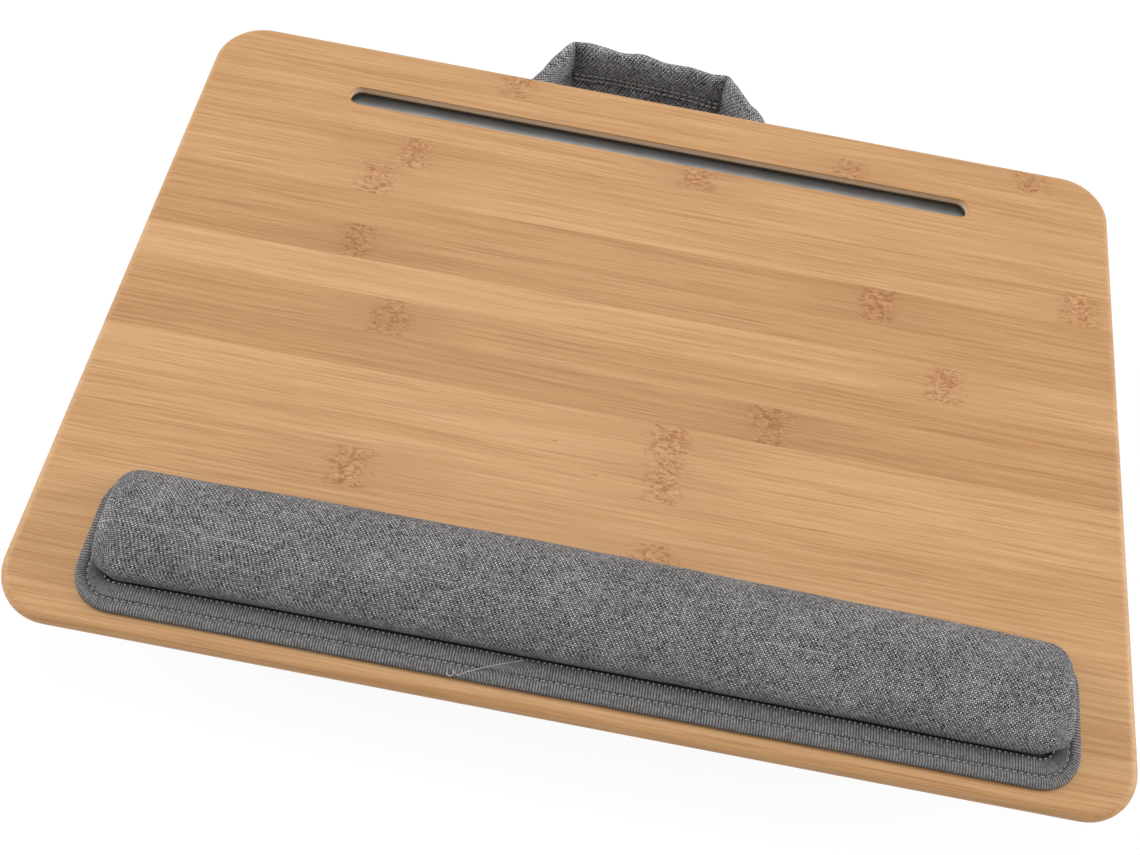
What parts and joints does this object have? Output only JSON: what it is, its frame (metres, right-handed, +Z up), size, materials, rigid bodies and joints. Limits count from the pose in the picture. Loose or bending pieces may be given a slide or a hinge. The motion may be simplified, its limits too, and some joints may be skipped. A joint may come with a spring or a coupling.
{
  "type": "cushioned lap desk",
  "caption": "Bamboo lap desk with a long device slot, a padded grey wrist rest along the front edge, a soft cushion below and a fabric carry loop at the back.",
  "frame": {"origin": "centre of the cushion's flat underside, on the surface the lap desk rests on", "axes": "+X along the board's width to the user's right, +Y from the user to the back edge, +Z up out of the board's top"},
  "size_m": [0.43, 0.3331, 0.069],
  "materials": {
    "bamboo": "satin",
    "heather_cloth": "matte",
    "ribbed_tape": "matte",
    "dark_cloth": "matte",
    "lining_cloth": "matte",
    "black_cloth": "matte",
    "foam": "matte",
    "grey_thread": "matte",
    "adhesive": "matte"
  },
  "bodies": {
    "lap_desk": {"bamboo_stave_01": "bamboo", "bamboo_stave_02": "bamboo", "bamboo_stave_03": "bamboo", "bamboo_stave_04": "bamboo", "bamboo_stave_05": "bamboo", "bamboo_stave_06": "bamboo", "bamboo_stave_07": "bamboo", "bamboo_stave_08": "bamboo", "bamboo_stave_09": "bamboo", "bamboo_stave_10": "bamboo", "bamboo_stave_11": "bamboo", "bamboo_stave_12": "bamboo", "bamboo_stave_13": "bamboo", "bamboo_stave_14": "bamboo", "bamboo_stave_15": "bamboo", "bamboo_stave_16": "bamboo", "bamboo_stave_17": "bamboo", "cushion_bottom_panel": "dark_cloth", "cushion_bottom_seam": "grey_thread", "cushion_filling": "foam", "cushion_lining": "lining_cloth", "cushion_mounting_pads": "adhesive", "cushion_side_band": "heather_cloth", "cushion_top_seam": "grey_thread", "handle_tab_left": "heather_cloth", "handle_tab_right": "heather_cloth", "handle_tab_stitching": "grey_thread", "wrist_rest_adhesive": "adhesive", "wrist_rest_base": "black_cloth", "wrist_rest_binding": "ribbed_tape", "wrist_rest_binding_end": "ribbed_tape", "wrist_rest_cover": "heather_cloth", "wrist_rest_foam": "foam", "wrist_rest_stitching": "grey_thread"},
    "carry_loop": {"handle_core": "foam", "handle_stitching": "grey_thread", "handle_strap": "heather_cloth"}
  },
  "joints": [
    {"name": "loop_fold", "type": "hinge", "parent": "lap_desk", "child": "carry_loop", "pos_m": [-0.0093, 0.1403, 0.028], "axis": [1, 0, 0], "range_deg": [-35, 0], "stiffness_Nm_per_rad": 0.15, "springref_deg": 3.44}
  ]
}
